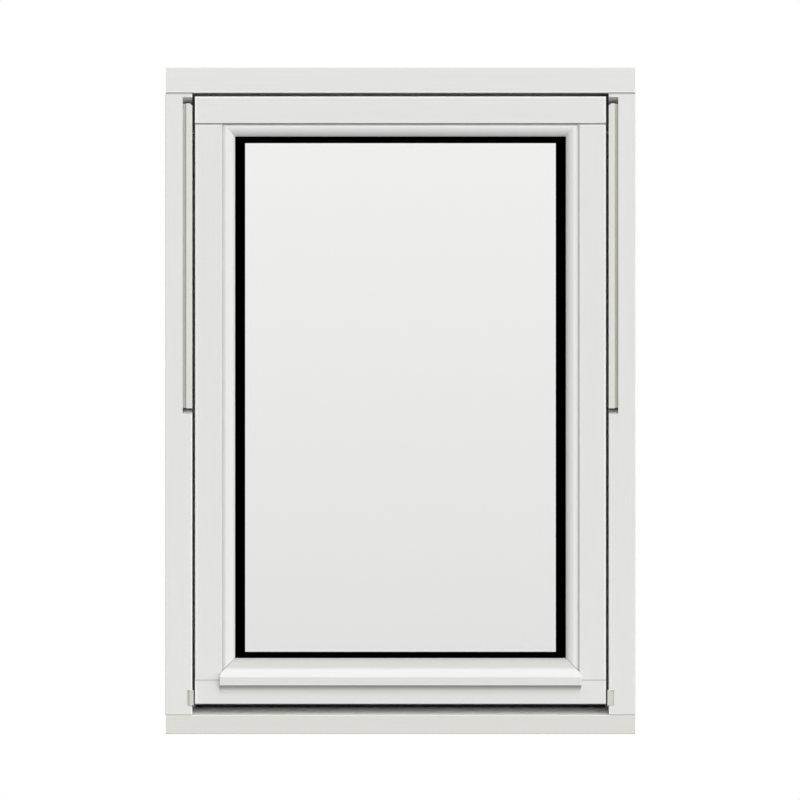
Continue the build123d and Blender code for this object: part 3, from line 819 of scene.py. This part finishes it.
class Bench:
    """Modelling steps on one mesh at a time, done with Blender's own operators."""

    @staticmethod
    def clear() -> None:
        """Leave edit mode and select nothing."""
        if bpy.context.mode != "OBJECT":
            bpy.ops.object.mode_set(mode="OBJECT")
        bpy.ops.object.select_all(action="DESELECT")

    @staticmethod
    def pick(kind: str, test: Callable[[Vector, Vector], bool]) -> None:
        """Select faces or vertices of the mesh in edit mode by place and normal.

        Args:
            kind: FACE or VERT.
            test: Says from an element's centre and normal whether it is wanted.
        """
        bpy.ops.mesh.select_mode(type=kind)
        bpy.ops.mesh.select_all(action="DESELECT")
        bpy.ops.object.mode_set(mode="OBJECT")
        mesh = bpy.context.object.data
        if kind == "FACE":
            for face in mesh.polygons:
                face.select = test(face.center, face.normal)
        else:
            for vertex in mesh.vertices:
                vertex.select = test(vertex.co, vertex.normal)
        bpy.ops.object.mode_set(mode="EDIT")

    @staticmethod
    def finish(name: str, smooth: float) -> Thing:
        """Close edit mode, put the place into the mesh and shade the piece.

        Args:
            name: Name of the finished piece.
            smooth: Largest angle in radians that is shaded smooth.

        Returns:
            The finished object.
        """
        bpy.ops.mesh.select_all(action="SELECT")
        bpy.ops.mesh.normals_make_consistent(inside=False)
        bpy.ops.object.mode_set(mode="OBJECT")
        made = bpy.context.object
        made.name = name
        made.data.name = name
        bpy.ops.object.transform_apply(location=True, rotation=True, scale=True)
        bpy.ops.object.shade_smooth_by_angle(angle=smooth)
        return made

    @staticmethod
    def copy(model: Thing, name: str, shift: Vector) -> Thing:
        """Copy a piece with its own mesh to another place.

        Args:
            model: The piece to copy.
            name: Name of the copy.
            shift: How far the copy is moved.

        Returns:
            The copy, with its place in its mesh.
        """
        Bench.clear()
        model.select_set(True)
        bpy.context.view_layer.objects.active = model
        bpy.ops.object.duplicate(linked=False)
        made = bpy.context.object
        made.name = name
        made.data.name = name
        bpy.ops.transform.translate(value=shift)
        bpy.ops.object.transform_apply(location=True, rotation=True, scale=True)
        return made


def dress(names: tuple[str, ...], material: Material) -> None:
    """Give CAD nodes a material.

    Args:
        names: The nodes.
        material: The material that replaces what they came with.
    """
    for name in names:
        slots = frame["nodes"][name].data.materials
        slots.clear()
        slots.append(material)
        LOG.info("%s dressed in %s", name, material.name)


def fit(piece: Thing, materials: tuple[Material, ...]) -> None:
    """Dress a new piece and let it ride on the window.

    Args:
        piece: The new piece.
        materials: Its materials, in the order that its faces number them.
    """
    for material in materials:
        piece.data.materials.append(material)
    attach(piece, ONE_BODY)
    LOG.info("%s built and dressed in %s", piece.name, materials[0].name)


@dataclass
class Screw:
    """A countersunk screw head, whose six-lobed recess stops short of the face that it is sunk in."""

    radius: float
    proud: float
    height: float = 0.0016
    recess_share: float = 0.5
    lobe_share: float = 0.72
    depth_share: float = 0.7
    rim: float = 0.0003
    corner_share: float = 0.6
    sides: int = 24
    smooth: float = 30.0

    def build(self, name: str, place: Vector, turn: Triple) -> Thing:
        """Model the head.

        Args:
            name: Name of the piece.
            place: Middle of the head's outer face.
            turn: Rotation that turns its outer face from up to where it looks.

        Returns:
            The finished head.
        """
        Bench.clear()
        bpy.ops.mesh.primitive_cylinder_add(vertices=self.sides, radius=self.radius, depth=self.height)
        made = bpy.context.object
        top = self.height / 2
        bpy.ops.object.mode_set(mode="EDIT")
        Bench.pick("FACE", lambda centre, normal: normal.z > FACING)
        bpy.ops.mesh.bevel(offset=self.rim, segments=2, affect="EDGES")
        Bench.pick("FACE", lambda centre, normal: normal.z > SQUARE_ON and centre.xy.length < self.rim)
        bpy.ops.mesh.inset(thickness=self.radius * (1.0 - self.recess_share) - self.rim)
        step = 2.0 * math.pi / self.sides

        def hollow(centre: Vector, normal: Vector) -> bool:
            """Say whether a corner lies between two lobes of the recess.

            Args:
                centre: Where the corner is.
                normal: Which way it looks, which makes no difference.

            Returns:
                True for a corner to be drawn in.
            """
            inside = centre.z > top - self.rim / 4 and centre.xy.length < self.radius * self.corner_share
            index = round(math.atan2(centre.y, centre.x) / step) % self.sides
            return inside and (index // 2) % 2 == 1

        Bench.pick("VERT", hollow)
        drawn_in = (self.lobe_share, self.lobe_share, 1.0)
        bpy.ops.transform.resize(value=drawn_in, center_override=(0.0, 0.0, 0.0))
        Bench.pick("FACE", lambda centre, normal: normal.z > SQUARE_ON and centre.xy.length < self.rim)
        depth = self.proud * self.depth_share
        bpy.ops.mesh.extrude_region_move(TRANSFORM_OT_translate={"value": (0.0, 0.0, -depth)})
        bpy.ops.mesh.select_more()
        bpy.ops.object.mode_set(mode="OBJECT")
        for face in made.data.polygons:
            face.material_index = int(face.select)
        made.rotation_euler = turn
        made.location = place
        bpy.ops.object.mode_set(mode="EDIT")
        return Bench.finish(name, math.radians(self.smooth))


@dataclass
class OuterFrame:
    """Head, sill and jambs with their seals and the screws that hold the corners."""

    head: tuple[str, ...] = ("frame_head",)
    sill: tuple[str, ...] = ("frame_sill",)
    upright_pieces: tuple[str, ...] = ("left_jamb", "right_jamb")
    seals: tuple[str, ...] = ("head_seal", "sill_seal", "left_seal", "right_seal")
    screw_radius: float = 0.0048
    screw_proud: float = 0.0001
    screw_depths: tuple[float, ...] = (-0.032, 0.022)

    def dress(self, level: Material, sill: Material, upright: Material, rubber: Material) -> None:
        """Paint the timbers along their grain and dress the seals.

        Args:
            level: Paint with level grain.
            sill: The sill's paint, darker and warmer as painted shade, with painted light on its slope.
            upright: Paint with upright grain.
            rubber: The seals' material.
        """
        dress(self.head, level)
        dress(self.sill, sill)
        dress(self.upright_pieces, upright)
        dress(self.seals, rubber)

    def build(self, steel: Material, shade: Material) -> None:
        """Model the corner screws on top of the head.

        Args:
            steel: The screws' material.
            shade: The material in their recesses.
        """
        jamb_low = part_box("left_jamb")[0]
        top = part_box("frame_head")[1].z + self.screw_proud
        middle = (jamb_low.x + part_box("left_seal")[0].x) / 2
        screw = Screw(self.screw_radius, self.screw_proud)
        places = [Vector((side * middle, depth, top)) for side in (1, -1) for depth in self.screw_depths]
        shift = Vector((0.0, 0.0, -screw.height / 2))
        first = screw.build("corner_screw_1", places[0] + shift, (0.0, 0.0, 0.0))
        screws = [first]
        for index, place in enumerate(places[1:], start=2):
            screws.append(Bench.copy(first, f"corner_screw_{index}", place - places[0]))
        for made in screws:
            fit(made, (steel, shade))


@dataclass
class Sash:
    """Rails, stiles, glazing beads and drip bead."""

    rails: tuple[str, ...] = ("sash_top_rail", "sash_bottom_rail")
    stiles: tuple[str, ...] = ("left_stile", "right_stile")
    top_bead: tuple[str, ...] = ("top_glazing_bead",)
    side_beads: tuple[str, ...] = ("left_glazing_bead", "right_glazing_bead")
    drip: tuple[str, ...] = ("drip_bead",)

    def dress(
        self,
        level: Material,
        upright: Material,
        level_bead: Material,
        upright_bead: Material,
        drip: Material,
    ) -> None:
        """Paint the timbers along their grain.

        Args:
            level: The rails' paint.
            upright: The stiles' paint.
            level_bead: The top bead's paint.
            upright_bead: The side beads' paint.
            drip: The drip bead's paint.
        """
        dress(self.rails, level)
        dress(self.stiles, upright)
        dress(self.top_bead, level_bead)
        dress(self.side_beads, upright_bead)
        dress(self.drip, drip)


@dataclass
class GlassUnit:
    """Two panes with their black edge spacer and the tape that beds them."""

    panes: tuple[str, ...] = ("outer_pane", "inner_pane")
    spacers: tuple[str, ...] = ("top_spacer", "bottom_spacer", "left_spacer", "right_spacer")
    tapes: tuple[str, ...] = (
        "top_glazing_tape",
        "bottom_glazing_tape",
        "left_glazing_tape",
        "right_glazing_tape",
    )

    def dress(self, glass: Material, black: Material, rubber: Material) -> None:
        """Dress the panes, the spacer and the tape.

        Args:
            glass: The panes' material.
            black: The spacer's material.
            rubber: The tape's material.
        """
        dress(self.panes, glass)
        dress(self.spacers, black)
        dress(self.tapes, rubber)


@dataclass
class HingeSet:
    """Swing arms, tracks, pivots and guide blocks on both jambs."""

    arms: tuple[str, ...] = ("left_swing_arm", "right_swing_arm")
    tracks: tuple[str, ...] = ("left_hinge_track", "right_hinge_track")
    pivots: tuple[str, ...] = ("left_hinge_pivots", "right_hinge_pivots")
    guides: tuple[str, ...] = ("left_guide_block", "right_guide_block")

    def dress(self, coat: Material, aluminium: Material, steel: Material, plastic: Material) -> None:
        """Dress the fittings.

        Args:
            coat: The arms' paint.
            aluminium: The tracks' metal.
            steel: The pivots' metal.
            plastic: The guides' plastic.
        """
        dress(self.arms, coat)
        dress(self.tracks, aluminium)
        dress(self.pivots, steel)
        dress(self.guides, plastic)


@dataclass
class HandleSet:
    """Lever handle on the room side with the screws of its rose."""

    metals: tuple[str, ...] = ("handle_rose", "handle_lever")
    screw_radius: float = 0.0034
    screw_proud: float = 0.0004
    screw_reach: float = 0.0205
    grip_thickness: float = 0.011
    grip_height: float = 0.017
    grip_round: float = 0.0044
    bend: float = 0.014
    bend_steps: int = 8
    tip_shares: tuple[float, ...] = (0.94, 0.97)
    tip_round: float = 0.0034
    collar_radius: float = 0.0105
    collar_depth: float = 0.003
    collar_edge: float = 0.0009
    collar_sides: int = 48
    smooth: float = 40.0

    def dress(self, metal: Material) -> None:
        """Dress the rose, and the lever that its model stands for.

        Args:
            metal: Their satin metal.
        """
        dress(self.metals, metal)

    def build_lever(self, metal: Material) -> None:
        """Model the lever: a neck out of the rose, a round bend and a grip that tapers to a soft tip.

        Args:
            metal: The lever's material.
        """
        low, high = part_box("handle_lever")
        start = Vector((0.0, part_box("handle_rose")[1].y, (low.z + high.z) / 2))
        turn = Vector((self.bend, high.y - self.grip_thickness / 2 - self.bend, start.z))
        grip_end = high.x
        Bench.clear()
        bpy.ops.mesh.primitive_plane_add(size=1.0, location=start, rotation=(-math.pi / 2, 0.0, 0.0))
        bpy.context.object.scale = (self.grip_thickness, self.grip_height, 1.0)
        bpy.ops.object.transform_apply(location=True, rotation=True, scale=True)
        bpy.ops.object.mode_set(mode="EDIT")
        bpy.ops.mesh.select_all(action="SELECT")
        bpy.ops.mesh.bevel(offset=self.grip_round, segments=5, affect="VERTICES")
        bpy.ops.mesh.select_all(action="SELECT")
        bpy.ops.mesh.extrude_region_move(TRANSFORM_OT_translate={"value": (0.0, turn.y - start.y, 0.0)})
        bpy.ops.mesh.spin(steps=self.bend_steps, angle=math.pi / 2, center=turn, axis=(0.0, 0.0, 1.0))
        run = (grip_end - turn.x) / len(self.tip_shares)
        for index, share in enumerate(self.tip_shares, start=1):
            bpy.ops.mesh.extrude_region_move(TRANSFORM_OT_translate={"value": (run, 0.0, 0.0)})
            middle = (turn.x + index * run, turn.y + self.bend, start.z)
            bpy.ops.transform.resize(value=(1.0, share, share), center_override=middle)
        bpy.ops.mesh.bevel(offset=self.tip_round, segments=5, affect="EDGES")
        bpy.ops.mesh.select_all(action="SELECT")
        bpy.ops.mesh.remove_doubles(threshold=0.00001)
        lever = Bench.finish("lever_handle", math.radians(self.smooth))
        Bench.clear()
        place = start + Vector((0.0, self.collar_depth / 2, 0.0))
        bpy.ops.mesh.primitive_cylinder_add(
            vertices=self.collar_sides,
            radius=self.collar_radius,
            depth=self.collar_depth,
            location=place,
            rotation=(-math.pi / 2, 0.0, 0.0),
        )
        bpy.ops.object.transform_apply(location=True, rotation=True, scale=True)
        bpy.ops.object.mode_set(mode="EDIT")
        Bench.pick("FACE", lambda centre, normal: normal.y > FACING)
        bpy.ops.mesh.bevel(offset=self.collar_edge, segments=3, affect="EDGES")
        collar = Bench.finish("lever_collar", math.radians(self.smooth))
        for piece in (lever, collar):
            fit(piece, (metal,))
            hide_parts("handle_lever")

    def build(self, steel: Material, shade: Material) -> None:
        """Model the two screws of the rose.

        Args:
            steel: The screws' material.
            shade: The material in their recesses.
        """
        low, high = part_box("handle_rose")
        level = (low.z + high.z) / 2
        screw = Screw(self.screw_radius, self.screw_proud)
        face = high.y + self.screw_proud - screw.height / 2
        turn = (-math.pi / 2, 0.0, 0.0)
        first = screw.build("handle_screw_1", Vector((-self.screw_reach, face, level)), turn)
        second = Bench.copy(first, "handle_screw_2", Vector((2 * self.screw_reach, 0.0, 0.0)))
        for made in (first, second):
            fit(made, (steel, shade))


@dataclass(frozen=True)
class Lamp:
    """A soft lamp that shines evenly from far off."""

    name: str
    comes_from: Triple
    strength: float
    angle: float
    colour: Triple = (1.0, 1.0, 1.0)
    distance: float = 4.0

    def build(self) -> None:
        """Hang the lamp, which lights surfaces but shows in no reflection."""
        data = bpy.data.lights.new(self.name, "SUN")
        data.energy = self.strength
        data.color = self.colour
        data.angle = math.radians(self.angle)
        lamp = bpy.data.objects.new(self.name, data)
        lamp.rotation_euler = Vector(self.comes_from).to_track_quat("Z", "Y").to_euler()
        lamp.location = Vector(self.comes_from) * self.distance
        lamp.visible_glossy = False
        bpy.context.scene.collection.objects.link(lamp)


@dataclass
class Studio:
    """Floor, backdrop, lamps, world and camera."""

    frame_span: float = 1.1874
    aim: Triple = (-0.0007, -6.0, 0.4957)
    sight_end: float = 100.0
    key: Lamp = Lamp("key_lamp", (0.55, -0.8, 0.25), 0.6, 60.0, (0.97, 0.98, 1.12))
    top: Lamp = Lamp("top_lamp", (0.12, -0.45, 0.88), 0.5, 30.0, (0.97, 0.98, 1.12))
    fill: Lamp = Lamp("fill_lamp", (-0.68, 0.72, 0.15), 2.0, 60.0)
    dome_even: float = 0.66
    dome_lean: Triple = (0.44, -0.5, 0.26)
    dome_below: float = 0.5
    dome_horizon: Span = (-0.3, 0.1)
    dome_colour: Colour = (1.0, 0.998, 0.955, 1.0)
    floor_span: float = 14.0
    floor_drop: float = 0.0005
    floor_roughness: float = 0.9
    floor_colour: Colour = (0.6, 0.6, 0.6, 1.0)
    floor_glow: float = 0.33
    backdrop_behind: float = 1.5
    backdrop_height: float = 4.0
    backdrop_stretch: float = 3.0
    backdrop_low: float = 0.835
    backdrop_high: float = 1.0
    backdrop_foot: float = 0.1
    backdrop_top: float = 1.0
    flag_before: float = 1.3
    flag_middle: float = 0.5
    flag_core: float = 0.42
    flag_reach: float = 0.7

    @staticmethod
    def seen(graph: Graph) -> Socket:
        """Give 1 for rays from the camera, direct, by mirror or through glass, but not off matt surfaces.

        Args:
            graph: The graph to add the nodes to.

        Returns:
            The mask.
        """
        path = graph.node("ShaderNodeLightPath")
        direct = path.outputs["Is Camera Ray"]
        mirrored = path.outputs["Is Glossy Ray"]
        through = path.outputs["Is Transmission Ray"]
        straight = graph.sums("LESS_THAN", path.outputs["Diffuse Depth"], 0.5)
        shown = graph.sums("MAXIMUM", graph.sums("MAXIMUM", direct, mirrored), through)
        return graph.sums("MULTIPLY", shown, straight)

    def build_world(self) -> None:
        """Set a soft dome, brighter to the upper right front and dim below, that the camera sees white."""
        world = bpy.data.worlds.new("studio_world")
        bpy.context.scene.world = world
        world.use_nodes = True
        graph = Graph(world.node_tree)
        graph.tree.nodes.clear()
        leave = graph.node("ShaderNodeOutputWorld")
        fill = graph.node("ShaderNodeBackground")
        fill.inputs["Color"].default_value = self.dome_colour
        place = graph.node("ShaderNodeTexCoord")
        lean = graph.node("ShaderNodeVectorMath", operation="DOT_PRODUCT")
        graph.join(place.outputs["Generated"], lean.inputs[0])
        lean.inputs[1].default_value = self.dome_lean
        parts = graph.node("ShaderNodeSeparateXYZ")
        graph.join(place.outputs["Generated"], parts.inputs["Vector"])
        level = graph.sums("MAXIMUM", graph.sums("ADD", lean.outputs["Value"], self.dome_even), 0.0)
        ground = graph.remap(parts.outputs["Z"], self.dome_horizon, (self.dome_below, 1.0))
        graph.join(graph.sums("MULTIPLY", level, ground), fill.inputs["Strength"])
        white = graph.node("ShaderNodeBackground")
        white.inputs["Color"].default_value = WHITE
        white.inputs["Strength"].default_value = 1.0
        choice = graph.node("ShaderNodeMixShader")
        graph.join(self.seen(graph), choice.inputs[0])
        graph.join(fill.outputs[0], choice.inputs[1])
        graph.join(white.outputs[0], choice.inputs[2])
        graph.join(choice.outputs[0], leave.inputs["Surface"])

    def build_floor(self) -> Thing:
        """Lay the pale floor, which keeps the object's shadow.

        Returns:
            The floor.
        """
        Bench.clear()
        bpy.ops.mesh.primitive_plane_add(size=self.floor_span, location=(0.0, 0.0, -self.floor_drop))
        floor = bpy.context.object
        floor.name = "studio_floor"
        floor.visible_diffuse = False
        material = bpy.data.materials.new("studio_floor")
        material.use_nodes = True
        graph = Graph(material.node_tree)
        shader = graph.tree.nodes["Principled BSDF"]
        shader.inputs["Base Color"].default_value = self.floor_colour
        shader.inputs["Roughness"].default_value = self.floor_roughness
        shader.inputs["Specular IOR Level"].default_value = 0.0
        shader.inputs["Emission Color"].default_value = WHITE
        glow = graph.sums("MULTIPLY", self.seen(graph), self.floor_glow)
        graph.join(glow, shader.inputs["Emission Strength"])
        floor.data.materials.append(material)
        return floor

    def build_backdrop(self) -> Thing:
        """Stand a white card behind the glass that only the glass shows.

        Returns:
            The card.
        """
        Bench.clear()
        place = (0.0, self.backdrop_behind, self.backdrop_height / 2)
        bpy.ops.mesh.primitive_plane_add(
            size=self.backdrop_height, location=place, rotation=(math.pi / 2, 0.0, 0.0)
        )
        card = bpy.context.object
        card.name = "studio_backdrop"
        card.scale = (self.backdrop_stretch, 1.0, 1.0)
        bpy.ops.object.transform_apply(location=True, rotation=True, scale=True)
        card.visible_camera = False
        card.visible_diffuse = False
        card.visible_glossy = False
        card.visible_shadow = False
        material = bpy.data.materials.new("studio_backdrop")
        material.use_nodes = True
        graph = Graph(material.node_tree)
        graph.tree.nodes.clear()
        leave = graph.node("ShaderNodeOutputMaterial")
        glow = graph.node("ShaderNodeEmission")
        parts = graph.node("ShaderNodeSeparateXYZ")
        graph.join(graph.placed(Run.EVEN), parts.inputs["Vector"])
        height = parts.outputs["Z"]
        shades = (self.backdrop_low, self.backdrop_high)
        rise = graph.remap(height, (self.backdrop_foot, self.backdrop_top), shades)
        foot = graph.remap(height, (0.0, self.backdrop_foot), (1.0, self.backdrop_low))
        level = graph.sums("MAXIMUM", rise, foot)
        graph.join(graph.sums("MULTIPLY", level, self.seen(graph)), glow.inputs["Strength"])
        graph.join(glow.outputs[0], leave.inputs["Surface"])
        card.data.materials.append(material)
        return card

    def build_flag(self) -> Thing:
        """Stand a card before the glass, dark in the middle and white at its edge, for reflections alone.

        Returns:
            The card.
        """
        Bench.clear()
        place = (0.0, -self.flag_before, self.flag_middle)
        bpy.ops.mesh.primitive_plane_add(
            size=2.0 * self.flag_reach, location=place, rotation=(math.pi / 2, 0.0, 0.0)
        )
        card = bpy.context.object
        card.name = "studio_flag"
        bpy.ops.object.transform_apply(location=True, rotation=True, scale=True)
        card.visible_camera = False
        card.visible_diffuse = False
        card.visible_transmission = False
        card.visible_shadow = False
        material = bpy.data.materials.new("studio_flag")
        material.use_nodes = True
        graph = Graph(material.node_tree)
        graph.tree.nodes.clear()
        leave = graph.node("ShaderNodeOutputMaterial")
        glow = graph.node("ShaderNodeEmission")
        parts = graph.node("ShaderNodeSeparateXYZ")
        graph.join(graph.placed(Run.EVEN), parts.inputs["Vector"])
        across = graph.sums("ABSOLUTE", parts.outputs["X"], 0.0)
        up = graph.sums("ABSOLUTE", graph.sums("SUBTRACT", parts.outputs["Z"], self.flag_middle), 0.0)
        out = graph.sums("MAXIMUM", across, up)
        graph.join(graph.remap(out, (self.flag_core, self.flag_reach), (0.0, 1.0)), glow.inputs["Strength"])
        graph.join(glow.outputs[0], leave.inputs["Surface"])
        card.data.materials.append(material)
        return card

    def build_camera(self) -> None:
        """Stand the camera square to the outer face, with no perspective."""
        data = bpy.data.cameras.new("straight_on")
        data.type = "ORTHO"
        data.ortho_scale = self.frame_span
        data.clip_end = self.sight_end
        camera = bpy.data.objects.new("straight_on", data)
        camera.location = self.aim
        camera.rotation_euler = (math.pi / 2, 0.0, 0.0)
        bpy.context.scene.collection.objects.link(camera)
        bpy.context.scene.camera = camera

    def build(self) -> None:
        """Set up the whole studio."""
        bpy.context.scene.view_settings.view_transform = "Standard"
        self.build_camera()
        self.build_world()
        self.key.build()
        self.top.build()
        self.fill.build()
        self.build_floor()
        self.build_backdrop()
        self.build_flag()
        LOG.info("studio set up")


def main() -> None:
    """Build the window's classes in order and report each piece."""
    logging.basicConfig(level=logging.INFO, format="%(name)s: %(message)s")
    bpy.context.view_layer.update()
    effects = Effects()
    paints = PaintShop(effects)
    rubber = MouldedFinish("seal_rubber", tone(38, 38, 38), (0.55, 0.75)).material(effects)
    black = MouldedFinish("spacer_black", tone(6, 6, 6), (0.6, 0.8), specular=0.1).material(effects)
    glass = GlassFinish("clear_glass", (0.96, 0.96, 0.957, 1.0), (0.0, 0.008)).material(effects)
    coat = MouldedFinish("arm_coat", tone(221, 220, 215), (0.34, 0.46), 0.015).material(effects)
    track = MetalFinish("track_aluminium", tone(200, 200, 190), (0.4, 0.5), Run.UPRIGHT, 0.3)
    aluminium = track.material(effects)
    steel = MetalFinish("plated_steel", tone(150, 150, 148), (0.26, 0.4), Run.EVEN).material(effects)
    zinc = MetalFinish("dull_zinc", tone(110, 110, 108), (0.5, 0.65), Run.EVEN, 0.3).material(effects)
    shade = MouldedFinish("recess_shade", tone(46, 46, 46), (0.6, 0.8), specular=0.1).material(effects)
    plastic = MouldedFinish("guide_plastic", tone(206, 206, 199), (0.4, 0.55), 0.02).material(effects)
    satin = MetalFinish("satin_aluminium", tone(196, 196, 194), (0.28, 0.38), Run.LEVEL).material(effects)
    outer = OuterFrame()
    outer.dress(paints.head(), paints.sill(), paints.jambs(), rubber)
    outer.build(steel, shade)
    Sash().dress(paints.rails(), paints.stiles(), paints.top_bead(), paints.side_beads(), paints.drip())
    GlassUnit().dress(glass, black, rubber)
    HingeSet().dress(coat, aluminium, zinc, plastic)
    handle = HandleSet()
    handle.dress(satin)
    handle.build_lever(satin)
    handle.build(steel, shade)
    Studio().build()


if __name__ == "__main__":
    main()
